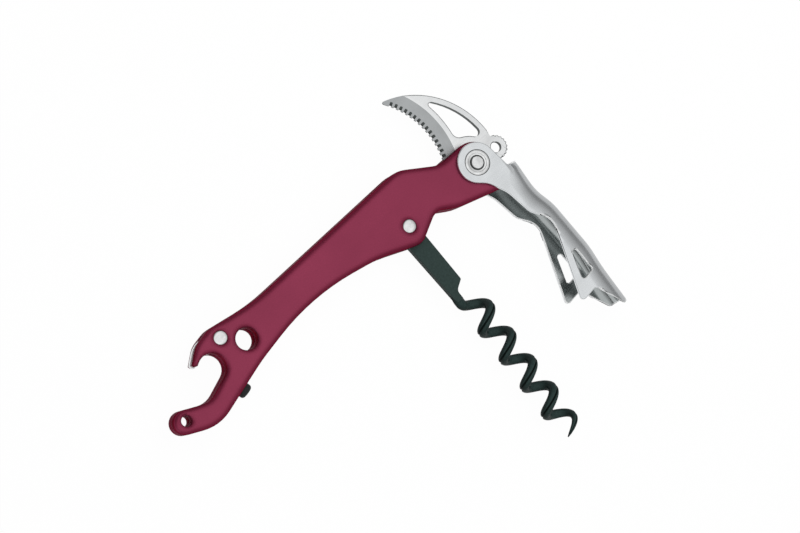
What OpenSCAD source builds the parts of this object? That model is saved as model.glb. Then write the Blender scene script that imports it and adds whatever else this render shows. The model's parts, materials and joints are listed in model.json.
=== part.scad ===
// Folding two-step lever corkscrew: split aluminium handle with a cap opener in its tail,
// worm, bent-sheet lever and serrated foil blade. Millimetres.
// Frame: the origin is on the axis of the lanyard hole at mid thickness, +X runs along the
// handle to the main pivot, +Y points to the blade's side, and +Z is the pivots' axis.

/* [Handle] */
// Lanyard hole to main pivot
handle_len = 125; // [118:1:135]
// Thickness of the closed handle
handle_t = 12; // [11:0.5:15]
// Rounding of the handle's outer edges
edge_r = 1.5; // [0.8:0.1:1.8]
// Height of the upper edge at the hump over the folded blade
hump_h = 15.1; // [14.6:0.1:17]
// Radius of the ears at the main pivot
ear_r = 7.3; // [6.9:0.1:8]
// Radius of the tail's end round the lanyard hole
tail_r = 3.85; // [3.5:0.05:4.2]
// Radius of the lanyard hole
lanyard_r = 1.7; // [1.4:0.1:2]
// Radius of the hanging hole behind the opener
hang_r = 3.55; // [3:0.05:4]

/* [Cap opener] */
// Radius of the opener's mouth
mouth_r = 4.6; // [4.2:0.1:5]
// Thickness of the steel tooth plate
plate_t = 2; // [1.6:0.1:2.6]
// How far the tooth plate stands out of the aluminium tooth
tooth_proud = 0.6; // [0.4:0.1:1]
// Radius of the rivet heads that show flush in the handle
rivet_head_r = 2.3; // [2.1:0.05:2.5]
// Radius of the rivet shanks
rivet_shank_r = 1.6; // [1.3:0.05:1.8]
// Depth of the rivet heads
rivet_head_t = 1; // [0.8:0.1:1.4]

/* [Worm] */
// Main pivot to worm pivot along the handle
worm_back = 30.8; // [29.5:0.1:33]
// Outside diameter of the helix
helix_d = 10.3; // [9.5:0.1:10.6]
// Thickness of the helix wire
wire_d = 3.3; // [2.6:0.1:3.4]
// Pitch of the helix
pitch = 11.3; // [10.5:0.1:12]
// Turns of the helix
turns = 4.9; // [4:0.1:5]
// Depth of the groove along the outside of the wire
groove = 0.5; // [0.2:0.05:0.7]
// Width of the flat tang at the pivot
tang_w = 7.1; // [6.8:0.1:8]
// Thickness of the tang
tang_t = 3; // [2.4:0.1:3.4]
// Pivot to the step where the tang narrows into the wire
tang_len = 24; // [22:0.5:25]
// Wall of the bush that the worm turns on
bush_wall = 0.6; // [0.5:0.05:0.8]
// Radius of the rubber rest for the folded worm
rest_r = 2.4; // [2:0.1:2.8]
// How far the rubber rest stands out of the handle
rest_proud = 1.3; // [0.8:0.1:1.5]

/* [Lever] */
// Thickness of the lever's sheet
sheet_t = 1.2; // [1:0.1:1.5]
// Pivot to the foot at the lever's end
lever_len = 67.5; // [64:0.5:72]
// Pivot to the tooth of the first step
step_len = 55.6; // [53:0.1:58]
// Radius of the lever's ears
lever_ear_r = 6.7; // [6.2:0.1:7]
// Pivot to the near edge of the lever's back
back_start = 9; // [9:0.1:10.5]
// Rounding of the bends between the back and the sides
bend_r = 5; // [4:0.1:5.2]

/* [Foil blade] */
// Pivot to the blade's tip
blade_len = 35.6; // [33:0.1:37]
// Thickness of the blade
blade_t = 2; // [1.6:0.1:2.6]
// Thickness left at the ground edge
edge_t = 0.6; // [0.4:0.1:0.7]
// Width of the ground bevel
bevel_w = 4.6; // [4:0.1:5]
// Teeth on the serrated edge
teeth = 15; // [10:1:16]
// Depth of the grooves between the teeth, on the ground side
tooth_h = 1.25; // [1.1:0.05:1.5]
// Radius of the ring that pulls the blade out
ring_r = 4; // [3.6:0.1:4.4]
// Radius of the hole in that ring
ring_hole_r = 1.8; // [1.4:0.1:2.1]

/* [Main pivot] */
// Radius of the main pin
pin_r = 2.4; // [2:0.05:2.6]
// Radius of the collars sunk in the lever's ears
collar_r = 4.2; // [3.8:0.1:4.6]
// Thickness of those collars
collar_t = 0.7; // [0.5:0.05:0.8]
// Thickness of the washers inside the handle
washer_t = 0.35; // [0.25:0.05:0.5]
// Outer radius of the blade's washers
washer_r = 5.4; // [4.5:0.1:6]

/* [Fits] */
// Radial clearance of a turning fit
run_fit = 0.05; // [0.03:0.01:0.08]
// Clearance of pieces that sit still in their seats
seat_fit = 0.02; // [0.01:0.01:0.04]
// Side gap between the handle and the lever's sides
side_gap = 0.4; // [0.3:0.05:0.5]
// Room round what swings in a slot
swing_gap = 0.6; // [0.4:0.1:0.8]

/* [Hidden] */

$fn = 48;
// Most that a chord of a rounded corner lies inside its arc
chord_sag = 0.03;
// Steps in a rounded edge and in a bend of the lever
edge_steps = 3;
bend_steps = 5;
// Overlap of a cut past the surface that it opens
over = 1;
// Half side of the slabs that plates are cut from
plate_reach = 4*handle_len;
// Distance below which two points are one
same = 0.001;

// Pose of the pieces that swing, in degrees from +X
worm_angle = -93;
lever_angle = -84;
blade_angle = 105;
// How far they swing home from there
worm_fold = -80.5;
blade_fold = 60;

half_t = handle_t/2;
pivot = [handle_len, 0];
worm_pivot = [handle_len - worm_back, -0.9];
mouth = [16.7, 6.8];
opener_rivet_at = [24.6, 12.2];
hang_at = [30.7, 6.6];

// Half widths of the slots that the blade and the tang turn in
blade_slot = blade_t/2 + washer_t + 2*run_fit;
tang_slot = tang_t/2 + washer_t + 2*run_fit;

// Inner and outer faces of the lever's sides
lever_in = half_t + side_gap;
lever_out = lever_in + sheet_t;

// Plain geometry helpers

function unit(v) = v/norm(v);
function turn(v, a) = [v[0]*cos(a) - v[1]*sin(a), v[0]*sin(a) + v[1]*cos(a)];
function side(a, b) = a[0]*b[1] - a[1]*b[0];
function polar(c, r, a) = c + r*[cos(a), sin(a)];
function arc(c, r, a0, a1, n) = [for (i = [0:n]) polar(c, r, a0 + (a1 - a0)*i/n)];
function flat(lists) = [for (l = lists) for (e = l) e];

// Corner of a polygon whose fillet of radius r runs about centre c from a0 to a1
function round_corner(c, r, a0, a1) = polar(c, r/cos((a1 - a0)/2), (a0 + a1)/2);

// Point on the tangent of a circle at angle a, k ahead of the point of contact counterclockwise
function tangent(c, r, a, k) = polar(c, r, a) + k*[-sin(a), cos(a)];

// Crossing of the tangents of two circles
function tangents_meet(c1, r1, a1, c2, r2, a2) =
    let (p = polar(c1, r1, a1), u = [-sin(a1), cos(a1)],
         q = polar(c2, r2, a2), v = [-sin(a2), cos(a2)])
    p + u*side(q - p, v)/side(u, v);

// Crossing of two circles, on the left of the line from the first to the second when s is 1
function meet(c1, r1, c2, r2, s) =
    let (d = norm(c2 - c1), x = (d*d + r1*r1 - r2*r2)/(2*d), y = sqrt(max(0, r1*r1 - x*x)),
         u = unit(c2 - c1))
    c1 + x*u + s*y*[-u[1], u[0]];

// Points of one corner [x, y, fillet radius, edge rounding] of an outline that runs counterclockwise:
// each is [x, y, outward normal x, outward normal y, edge rounding]
function corner_points(p, q, n) =
    let (a = unit([p[0] - q[0], p[1] - q[1]]), b = unit([n[0] - q[0], n[1] - q[1]]),
         half = acos(a*b)/2, centre = [q[0], q[1]] + unit(a + b)*q[2]/sin(half),
         out = side(-a, b) > 0 ? 1 : -1, sweep = out*(180 - 2*half),
         first = unit([q[0], q[1]] + a*q[2]/tan(half) - centre), step = 2*acos(1 - chord_sag/q[2]),
         count = max(2, ceil(abs(sweep)/step)))
    [for (i = [0:count]) let (d = turn(first, sweep*i/count), at = centre + d*q[2])
        [at[0], at[1], out*d[0], out*d[1], q[3]]];

// Whole outline through its rounded corners, where a point that two fillets share counts once
function outline(c) =
    let (n = len(c), last = n - 1,
         all = flat([for (i = [0:last]) corner_points(c[(i + last)%n], c[i], c[(i + 1)%n])]),
         m = len(all))
    [for (i = [0:m - 1]) let (p = all[i], b = all[(i + m - 1)%m])
        if (norm([p[0] - b[0], p[1] - b[1]]) > same) p];

function plan(corners) = [for (p = outline(corners)) [p[0], p[1]]];

// Closed solid through rings of points, each ring with as many points as the first
module loft(rings) {
    n = len(rings[0]);
    m = len(rings);
    sides = [for (j = [0:m - 2]) for (i = [0:n - 1]) let (k = (i + 1)%n)
        each [[j*n + i, (j + 1)*n + i, j*n + k], [j*n + k, (j + 1)*n + i, (j + 1)*n + k]]];
    low = [[for (i = [0:n - 1]) i]];
    high = [[for (i = [n - 1:-1:0]) (m - 1)*n + i]];
    polyhedron(flat(rings), concat(low, sides, high), convexity = 8);
}

// Steps of a rounded edge, as shares of its radius: [inset from the outline, drop from the face].
// The last one runs on a little way through the face
run_on = 0.1;
function edge_step(k, n) = [1 - cos(90*k/n), 1 - sin(90*k/n)];
function round_steps(n) = let (face = edge_step(n, n))
    concat([for (k = [0:n]) edge_step(k, n)], [face + run_on*(face - edge_step(n - 1, n))]);

// Ring of an outline at a step of its edge, below the face at z, or above it when way is -1
function edge_ring(edge, step, z, way) =
    [for (p = edge) [p[0] - p[2]*p[4]*step[0], p[1] - p[3]*p[4]*step[0], z - way*p[4]*step[1]]];

// Plate from z0 to z1 with its edge rounded at the top, and at the bottom too when both is true:
// a loft that runs out of both faces, cut off flat
module rounded_plate(corners, z0, z1, both = false, count = edge_steps) {
    edge = outline(corners);
    steps = round_steps(count);
    last = steps[count + 1][0];
    top = [for (step = steps) edge_ring(edge, step, z1, 1)];
    cap = [edge_ring(edge, [last, 0], z1 + over, 1)];
    low = both ? [for (k = [count + 1:-1:0]) edge_ring(edge, steps[k], z0, -1)] : [];
    foot = [edge_ring(edge, [both ? last : 0, 0], z0 - over, 1)];
    intersection() {
        loft(concat(foot, low, top, cap));
        translate([-plate_reach, -plate_reach, z0]) cube([2*plate_reach, 2*plate_reach, z1 - z0]);
    }
}

// Handle

// Middle of the tail's end, a little outside the hole
tail_at = [-0.4, -0.2];
// Height of the arch in the underside that the folded worm lies under, and its place
arch_at = [55, 3];
// Depth of the belly below the worm's pivot
belly = 7.1;
// Where the round of the ears runs into the straight front of the nose, and that front's length
nose_turn = -25;
nose_len = 9.8;
// Rounding of the thin edges round the opener
tooth_edge = 0.45;
mouth_edge = 1;
nose_edge = 1.3;

// Corners of a cheek, counterclockwise: [x, y, fillet radius, edge rounding]
cheek_corners = [
    concat(round_corner(pivot, ear_r, nose_turn, 90), [ear_r, edge_r]),
    [pivot[0] - 9.7, ear_r, 8, edge_r],
    [pivot[0] - 22, hump_h, 10, edge_r],
    [40, hump_h - 1.4, 60, edge_r],
    [23.5, 16.5, 8, 1.1],
    [17.7, 15.2, 7, tooth_edge],
    [12.75, 11.35, 0.5, tooth_edge],
    concat(tangent(mouth, mouth_r, 122, 1.1), [0.5, tooth_edge]),
    concat(round_corner(mouth, mouth_r, 60, 122), [mouth_r, tooth_edge]),
    concat(round_corner(mouth, mouth_r, -5, 60), [mouth_r, mouth_edge]),
    concat(round_corner(mouth, mouth_r, -70, -5), [mouth_r, mouth_edge]),
    concat(tangents_meet(mouth, mouth_r, -70, tail_at, tail_r, 64), [7, mouth_edge]),
    concat(round_corner(tail_at, tail_r, 64, 152), [tail_r, edge_r]),
    concat(round_corner(tail_at, tail_r, 152, 244), [tail_r, edge_r]),
    concat(tangent(tail_at, tail_r, 244, 10), [14, edge_r]),
    [30, -1.6, 60, edge_r],
    [arch_at[0], arch_at[1], 80, edge_r],
    [worm_pivot[0] - 14.2, -2.2, 50, edge_r],
    [worm_pivot[0] - 0.1, worm_pivot[1] - belly, 5, edge_r],
    [pivot[0] - 20.5, -2.9, 4.5, edge_r],
    [pivot[0] - 13.5, -7.1, 15, edge_r],
    concat(tangent(pivot, ear_r, nose_turn, -nose_len), [1.6, nose_edge])];

// Slot for the blade, about the main pivot: from in front of the ears round to the folded edge
slot_reach = blade_len + 2*swing_gap + over;
slot_front = -52;
slot_back = blade_angle + blade_fold + 3;
// Past slot_back, where the slot's floor runs into the round of the butt
slot_butt = slot_back + 45;
module blade_slot_plan() {
    floor_at = turn(edge_end + [0, 2*swing_gap], blade_angle + blade_fold);
    translate(pivot) polygon(concat(arc([0, 0], slot_reach, slot_front, slot_back, 24), [floor_at],
        arc([0, 0], butt_r + swing_gap, slot_butt, slot_front + 360, 8)));
}

// Slot for the tang, about the worm's pivot: from the open worm round to the folded one
module tang_slot_plan() {
    reach = 2*tang_len;
    room = tang_w/2 + swing_gap;
    home = worm_angle + worm_fold;
    mouth_edge = [turn([reach, -room], home), turn([reach, 0], (home + worm_angle)/2),
        turn([reach, room], worm_angle)];
    translate(worm_pivot) polygon(concat(arc([0, 0], room, worm_angle + 90, home + 270, 8), mouth_edge));
}

// Corners of the tooth plate: the fourth value is how far its seat is cut past it, where it shows
plate_corners = [
    [32.5, 14, 1.5, 0],
    [24, 15.6, 8, 0],
    [17.7 - tooth_proud*0.7, 15.2 + tooth_proud*0.6, 7, over],
    [12.75 - tooth_proud, 11.35 + tooth_proud*0.4, 0.7, over],
    concat(tangent(mouth, mouth_r, 122, 1.1 + tooth_proud), [0.6, over]),
    concat(round_corner(mouth, mouth_r, 60, 122), [mouth_r, over]),
    concat(round_corner(mouth, mouth_r, 30, 60), [mouth_r, over]),
    [25, 8.6, 1.5, 0],
    [32.5, 11.4, 1.5, 0]];

// Seat of the rubber rest: on the underside, square to its edge
rest_at = [20.5, -5.3];
rest_tilt = -167;
rest_depth = 4.2;
module rest_frame() {
    translate([rest_at[0], rest_at[1], 0]) rotate([0, 0, rest_tilt]) rotate([-90, 0, 0]) children();
}

module rivet_bore(at) {
    translate([at[0], at[1], -over]) cylinder(r = rivet_shank_r + seat_fit, h = half_t + 2*over);
    translate([at[0], at[1], half_t - rivet_head_t - seat_fit])
        cylinder(r = rivet_head_r + seat_fit, h = rivet_head_t + over);
}

// Cheek with its round holes
module drilled_cheek() {
    difference() {
        rounded_plate(cheek_corners, 0, half_t);
        translate([0, 0, -over]) cylinder(r = lanyard_r, h = half_t + 2*over);
        translate([hang_at[0], hang_at[1], -over]) cylinder(r = hang_r, h = half_t + 2*over);
        translate([pivot[0], pivot[1], -over]) cylinder(r = pin_r + run_fit, h = half_t + 2*over);
        rivet_bore(opener_rivet_at);
        rivet_bore(worm_pivot);
    }
}

module cheek() {
    difference() {
        drilled_cheek();
        translate([0, 0, -over]) linear_extrude(over + blade_slot) blade_slot_plan();
        translate([0, 0, -over]) linear_extrude(over + tang_slot) tang_slot_plan();
        translate([0, 0, -over]) linear_extrude(over + plate_t/2 + seat_fit) plate_seat_plan();
        rest_frame() translate([0, 0, -rest_depth - seat_fit])
            cylinder(r = rest_r + seat_fit, h = 3*rest_depth);
    }
}

// The plate's seat runs out of the tooth on all the sides where the plate shows
module plate_seat_plan() {
    polygon([for (p = outline(plate_corners)) [p[0], p[1]] + [p[2], p[3]]*(seat_fit + p[4])]);
}

module near_cheek() {
    color("#88364f") cheek();
}

module far_cheek() {
    color("#88364f") mirror([0, 0, 1]) cheek();
}

module opener_plate() {
    color("#c4c8c8") difference() {
        translate([0, 0, -plate_t/2]) linear_extrude(plate_t) polygon(plan(plate_corners));
        translate([opener_rivet_at[0], opener_rivet_at[1], -plate_t])
            cylinder(r = rivet_shank_r + seat_fit, h = 2*plate_t);
    }
}

// Rivet whose two heads lie flush in the handle's sides
module rivet(at) {
    translate([at[0], at[1], 0]) {
        translate([0, 0, -half_t]) cylinder(r = rivet_head_r, h = rivet_head_t);
        translate([0, 0, -half_t]) cylinder(r = rivet_shank_r, h = handle_t);
        translate([0, 0, half_t - rivet_head_t]) cylinder(r = rivet_head_r, h = rivet_head_t);
    }
}

module opener_rivet() {
    color("#d8dcda") rivet(opener_rivet_at);
}

module worm_rivet() {
    color("#d8dcda") rivet(worm_pivot);
}

// Tube between the cheeks that the worm turns on
bush_r = rivet_shank_r + bush_wall;
module worm_bush() {
    color("#b9a06a") translate([worm_pivot[0], worm_pivot[1], 0]) difference() {
        translate([0, 0, seat_fit - tang_slot]) cylinder(r = bush_r, h = 2*(tang_slot - seat_fit));
        translate([0, 0, -2*tang_slot]) cylinder(r = rivet_shank_r + seat_fit, h = 4*tang_slot);
    }
}

module worm_rest() {
    crown = rest_proud*0.8;
    color("#2c302f") rest_frame() rotate_extrude() polygon(concat([[0, -rest_depth], [rest_r, -rest_depth]],
        arc([rest_r - crown, rest_proud - crown], crown, 0, 90, 4), [[0, rest_proud]]));
}

// Ring from z0, outside radius ro, bore radius ri
module ring(at, z0, h, ro, ri) {
    translate([at[0], at[1], z0]) difference() {
        cylinder(r = ro, h = h);
        translate([0, 0, -over]) cylinder(r = ri, h = h + 2*over);
    }
}

module worm_washer() {
    color("#c9b78d") ring(worm_pivot, tang_t/2 + run_fit, washer_t, tang_w/2, bush_r + run_fit);
}

module near_worm_washer() {
    worm_washer();
}

module far_worm_washer() {
    mirror([0, 0, 1]) worm_washer();
}

module blade_washer() {
    color("#c9b78d") ring(pivot, blade_t/2 + run_fit, washer_t, washer_r, pin_r + run_fit);
}

module near_blade_washer() {
    blade_washer();
}

module far_blade_washer() {
    mirror([0, 0, 1]) blade_washer();
}

// Worm, in its own frame: pivot at the origin, +X towards the tip, +Y to the step

wire_r = wire_d/2;
helix_r = helix_d/2 - wire_r;
// Height of the helix's axis beside the pivot, which keeps the folded worm off the handle
helix_y = 3.25;
// Where the wire leaves the tang, and the angle there
wire_start = tang_len + 6.2;
first_angle = 180;
last_angle = first_angle + 360*turns;
// The wire leaves the tang in a short sweep up to this angle
sweep_angle = 225;
rings_per_turn = 20;
wire_sides = 12;
// Turn of the helix over which the wire is drawn out to a point
point_turn = 0.75;
point_r = 0.22;

function helix_at(a) = [wire_start + pitch*(a - first_angle)/360, helix_y + helix_r*cos(a), helix_r*sin(a)];
function helix_way(a) = unit([pitch/(2*PI), -helix_r*sin(a), helix_r*cos(a)]);
function bezier(p0, p1, p2, p3, t) =
    pow(1 - t, 3)*p0 + 3*t*pow(1 - t, 2)*p1 + 3*t*t*(1 - t)*p2 + pow(t, 3)*p3;

// Sweep from inside the tang into the helix
lead_in = 3.2;
lead_rise = -0.1;
lead_from = [tang_len + lead_in, helix_y - helix_r + lead_rise, 0];
lead_pull = 2;
lead_rings = 7;
sweep_points = [for (i = [0:lead_rings - 1]) bezier(lead_from, lead_from + [lead_pull, 0, 0],
    helix_at(sweep_angle) - lead_pull*0.6*helix_way(sweep_angle), helix_at(sweep_angle), i/lead_rings)];
helix_count = ceil((last_angle - sweep_angle)/360*rings_per_turn);
helix_angles = [for (i = [0:helix_count]) sweep_angle + (last_angle - sweep_angle)*i/helix_count];
wire_path = concat(sweep_points, [for (a = helix_angles) helix_at(a)]);

// Share of the full wire at each point of the path: it swells out of the tang, and the last stretch
// tapers to the point
lead_share = 0.8;
function draw_out(i) = let (left = (len(wire_path) - 1 - i)/(point_turn*rings_per_turn))
    max(point_r/wire_r, min(1, sqrt(max(0, left)), lead_share + (1 - lead_share)*i/lead_rings));

function path_way(i) = unit(wire_path[min(i + 1, len(wire_path) - 1)] - wire_path[max(i - 1, 0)]);

// Section of the wire: round, with a groove on the side away from the helix's axis
groove_angle = 26;
function wire_edge(a) = wire_r - groove*exp(-pow((a > 180 ? a - 360 : a)/groove_angle, 2));
function wire_ring(i) =
    let (c = wire_path[i], way = path_way(i), away = [0, c[1] - helix_y, c[2]],
         out = unit(away - (away*way)*way), across = cross(way, out), s = draw_out(i))
    [for (k = [0:wire_sides - 1]) let (a = 360*k/wire_sides)
        c + s*wire_edge(a)*(cos(a)*out + sin(a)*across)];

module helix() {
    loft([for (i = [0:len(wire_path) - 1]) wire_ring(i)]);
}

// Least gap of the helix to itself, between points half a turn or more apart
function least_gap(pts, skip) = min([for (i = [0:len(pts) - 1]) for (j = [i + skip:1:len(pts) - 1])
    norm(pts[i] - pts[j])]) - wire_d;
echo(least_gap_of_the_helix = least_gap([for (a = helix_angles) helix_at(a)], ceil(rings_per_turn/2)));

// The tang narrows from its round end to the wire, with the step on one side
tang_corners = [
    concat(round_corner([0, 0], tang_w/2, 92, 183), [tang_w/2, 0]),
    concat(round_corner([0, 0], tang_w/2, 183, 274), [tang_w/2, 0]),
    concat(tangent([0, 0], tang_w/2, 274, tang_len + 6), [1.7, 0]),
    [tang_len + 5.6, helix_y - helix_r + wire_r - 0.4, 0.4, 0],
    [tang_len + 2.1, helix_y - helix_r + wire_r - 0.45, 2.2, 0],
    concat(tangent([0, 0], tang_w/2, 92, -tang_len), [0.5, 0])];

module worm() {
    color("#3a4442") translate([worm_pivot[0], worm_pivot[1], 0]) rotate([0, 0, worm_angle]) {
        difference() {
            translate([0, 0, -tang_t/2]) linear_extrude(tang_t) polygon(plan(tang_corners));
            translate([0, 0, -tang_t]) cylinder(r = bush_r + run_fit, h = 2*tang_t);
        }
        helix();
    }
}

// Main pivot

pin_proud = 0.3;
pin_round = 0.4;
module main_pin() {
    top = lever_out + pin_proud;
    color("#d8dcda") translate([pivot[0], pivot[1], 0]) rotate_extrude()
        polygon([[0, -top], [pin_r - pin_round, -top], [pin_r, pin_round - top], [pin_r, top - pin_round],
            [pin_r - pin_round, top], [0, top]]);
}

module collar() {
    color("#c9cdcc") ring(pivot, lever_out - collar_t, collar_t, collar_r, pin_r + seat_fit);
}

module near_collar() {
    collar();
}

module far_collar() {
    mirror([0, 0, 1]) collar();
}

ear_washer_t = side_gap - 2*run_fit;
module ear_washer() {
    color("#e4e2da") ring(pivot, half_t + run_fit, ear_washer_t, washer_r, pin_r + run_fit);
}

module near_ear_washer() {
    ear_washer();
}

module far_ear_washer() {
    mirror([0, 0, 1]) ear_washer();
}

// Lever, in its own frame: pivot at the origin, +X towards the foot, +Y to the back

// Corners of a side, counterclockwise from the ear: [x, y, fillet radius, edge rounding]
sheet_edge = 0.3;
ear_low = -45;
notch = [step_len + 0.45, -2.15];
tooth_drop = 7.2;
foot_h = 3.1;
lever_side = [
    concat(round_corner([0, 0], lever_ear_r, 90, 203), [lever_ear_r, sheet_edge]),
    concat(round_corner([0, 0], lever_ear_r, 203, 360 + ear_low), [lever_ear_r, sheet_edge]),
    concat(tangent([0, 0], lever_ear_r, ear_low, 3.3), [8, sheet_edge]),
    [14, 0.1, 12, sheet_edge],
    [23.8, 0.6, 4, sheet_edge],
    [30.4, 4.5, 6.5, sheet_edge],
    [notch[0], notch[1] - tooth_drop, 1.2, sheet_edge],
    concat(notch, [1, sheet_edge]),
    [lever_len - 0.4, 1.2, 0.9, sheet_edge]];

// Corners of the back, from the foot to its near edge: [x, y, fillet radius]
lever_back = [
    [lever_len, 1.2 + foot_h, 1],
    [54.3, 6.35, 25],
    [46.5, 8.35, 25],
    [28, 10.2, 12],
    [21.5, 9.3, 14],
    [back_start, 10.8, 0.8]];
lever_corners = concat(lever_side, [for (p = lever_back) concat(p, [sheet_edge])],
    [[back_start - 0.8, lever_ear_r, 1.2, sheet_edge]]);

// Point at x on the line through a and b
function line_at(a, b, x) = [x, b[1] + (x - b[0])*(b[1] - a[1])/(b[0] - a[0])];

// All that lies in front of the back moved in by t, with both its edges rounded by r
front_far = 2*lever_len;
front_fillet = 3*bend_r;
function in_front(t, r) =
    let (last = len(lever_back) - 1, foot = line_at(lever_back[1], lever_back[0], front_far),
         near = line_at(lever_back[last - 1], lever_back[last], -front_far),
         far = [[-front_far, -front_far], [front_far, -front_far], foot - [0, t]])
    concat([for (p = far) concat(p, [front_fillet, r])],
        [for (i = [1:last - 1]) let (p = lever_back[i]) [p[0], p[1] - t, p[2], r]],
        [concat(near - [0, t], [front_fillet, r])]);

// Rounded three-cornered window in each side
window_corners = [
    [38.7, 2.8, 0.9, 0],
    [51.4, -3.6, 0.8, 0],
    [51.3, 1.6, 0.6, 0]];

module lever() {
    color("#b4b8ba") translate([pivot[0], pivot[1], 0]) rotate([0, 0, lever_angle]) difference() {
        intersection() {
            rounded_plate(lever_corners, -lever_out, lever_out, both = true);
            rounded_plate(in_front(0, bend_r), -lever_out, lever_out, both = true, count = bend_steps);
        }
        rounded_plate(in_front(sheet_t, bend_r - sheet_t), -lever_in, lever_in, both = true,
            count = bend_steps);
        translate([0, 0, -2*lever_out]) linear_extrude(4*lever_out) polygon(plan(window_corners));
        translate([0, 0, -2*lever_out]) cylinder(r = pin_r + run_fit, h = 4*lever_out);
        for (s = [0, 1]) mirror([0, 0, s]) translate([0, 0, lever_out - collar_t - run_fit])
            cylinder(r = collar_r + run_fit, h = collar_t + over);
    }
}

// Blade, in its own frame: pivot at the origin, +X towards the tip, spine on the -Y side

butt_r = 6.3;
spine_c = [blade_len - 25.15, 15.2];
spine_r = 29.6;
edge_c = [blade_len - 10.6, 25.4];
edge_arc = 27.25;
tip_r = 0.55;
tip_c = meet(spine_c, spine_r - tip_r, edge_c, edge_arc + tip_r, -1);
// Ends of the toothed edge and of the spine as angles about their centres
edge_from = -72;
edge_to = -126;
edge_end = polar(edge_c, edge_arc, edge_to);
spine_to = -106;
// How far the corners of the outline lie inside the rounds that they join
join_in = 0.3;
pull_ring = [-3.6, -10.3];
// Width of the rib along the spine, and of the lands that the window leaves to the bevel and the butt
rib = 1.85;
bevel_land = 1.85;
butt_land = 3.6;
// Fillets of that window: at the tip's end, by the ring and by the bevel
window_r = 0.9;
window_end_r = 1.6;
window_mid_r = 2.7;
// Notches for the thumbnail round the ring's rim
jimps = 9;
jimp_r = 0.45;
jimp_depth = 0.3;
jimp_from = 150;
jimp_span = 165;

function angle(v) = atan2(v[1], v[0]);

// Tip, edge, heel, ring and spine in turn
module blade_plan() {
    spine_end = angle(tip_c - spine_c);
    edge_start = angle(tip_c - edge_c);
    heel = polar([0, 0], butt_r - join_in, 100);
    neck = [polar([0, 0], butt_r - join_in, 212), polar(pull_ring, ring_r - join_in, 200), pull_ring];
    circle(r = butt_r);
    polygon(concat(arc(tip_c, tip_r, spine_end, edge_start + 180, 6),
        arc(edge_c, edge_arc, edge_start, edge_to, 24), [heel], neck,
        arc(spine_c, spine_r, spine_to, spine_end, 18)));
    translate(pull_ring) circle(r = ring_r);
}

// Window between the spine, the bevel and the round of the butt, with filleted corners
module window_plan() {
    rs = spine_r - rib;
    re = edge_arc + bevel_w + bevel_land;
    rb = butt_r + butt_land;
    far_c = meet(spine_c, rs - window_r, edge_c, re + window_r, -1);
    low_c = meet([0, 0], rb + window_end_r, spine_c, rs - window_end_r, -1);
    mid_c = meet([0, 0], rb + window_mid_r, edge_c, re + window_mid_r, -1);
    polygon(concat(
        arc(far_c, window_r, angle(far_c - edge_c) + 180, angle(far_c - spine_c), 6),
        arc(spine_c, rs, angle(far_c - spine_c), angle(low_c - spine_c), 8),
        arc(low_c, window_end_r, angle(low_c - spine_c), angle(low_c) - 180, 6),
        arc([0, 0], rb, angle(low_c), angle(mid_c), 5),
        arc(mid_c, window_mid_r, angle(mid_c) - 180, angle(mid_c - edge_c) - 180, 5),
        arc(edge_c, re, angle(mid_c - edge_c), angle(far_c - edge_c), 8)));
}

module jimp_plan() {
    at_r = ring_r + jimp_r - jimp_depth;
    for (i = [0:jimps - 1]) translate(polar(pull_ring, at_r, jimp_from + jimp_span*(i + 0.5)/jimps))
        circle(r = jimp_r);
}

// Bevel ground on the near side: a cone about the centre of the cutting edge
bevel_rise = (blade_t - edge_t)/bevel_w;
module bevel() {
    translate([edge_c[0], edge_c[1], 0]) rotate_extrude($fn = 96)
        polygon([[edge_arc - over, edge_t - blade_t/2 - bevel_rise*over],
            [edge_arc + bevel_w, blade_t/2], [edge_arc + bevel_w, blade_t], [edge_arc - over, blade_t]]);
}

// Grooves that leave the teeth: each rises from the far side of the edge to the bevel
gullet_r = 0.42;
gullet_tilt = 45;
gullet_in = tooth_h*(1 - bevel_rise) - edge_t;
tooth_turn = (edge_to - edge_from)/teeth;
module gullet(i) {
    translate([edge_c[0], edge_c[1], -blade_t/2]) rotate([0, 0, edge_from + tooth_turn*(i + 0.5)])
        translate([edge_arc + gullet_in, 0, 0]) rotate([0, gullet_tilt, 0])
        translate([-gullet_r, 0, -blade_t]) cylinder(r = gullet_r, h = 3*blade_t, $fn = 16);
}

module blade() {
    color("#d2d5d6") translate([pivot[0], pivot[1], 0]) rotate([0, 0, blade_angle]) difference() {
        translate([0, 0, -blade_t/2]) linear_extrude(blade_t) difference() {
            blade_plan();
            window_plan();
            jimp_plan();
        }
        translate([0, 0, -blade_t]) cylinder(r = pin_r + run_fit, h = 2*blade_t);
        translate([pull_ring[0], pull_ring[1], -blade_t]) cylinder(r = ring_hole_r, h = 2*blade_t);
        intersection() {
            bevel();
            translate([butt_r, -edge_arc, -blade_t]) cube([blade_len, 2*edge_arc, 2*blade_t]);
        }
        for (i = [0:teeth - 1]) gullet(i);
    }
}

near_cheek();
far_cheek();
opener_plate();
opener_rivet();
worm_rivet();
worm_bush();
worm_rest();
near_worm_washer();
far_worm_washer();
near_blade_washer();
far_blade_washer();
worm();
main_pin();
near_collar();
far_collar();
lever();
near_ear_washer();
far_ear_washer();
blade();
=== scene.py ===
"""Looks of a folding two-step lever corkscrew, built around its solid model."""
import json
import math

import bmesh
import bpy
from mathutils import Matrix, Vector


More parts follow.
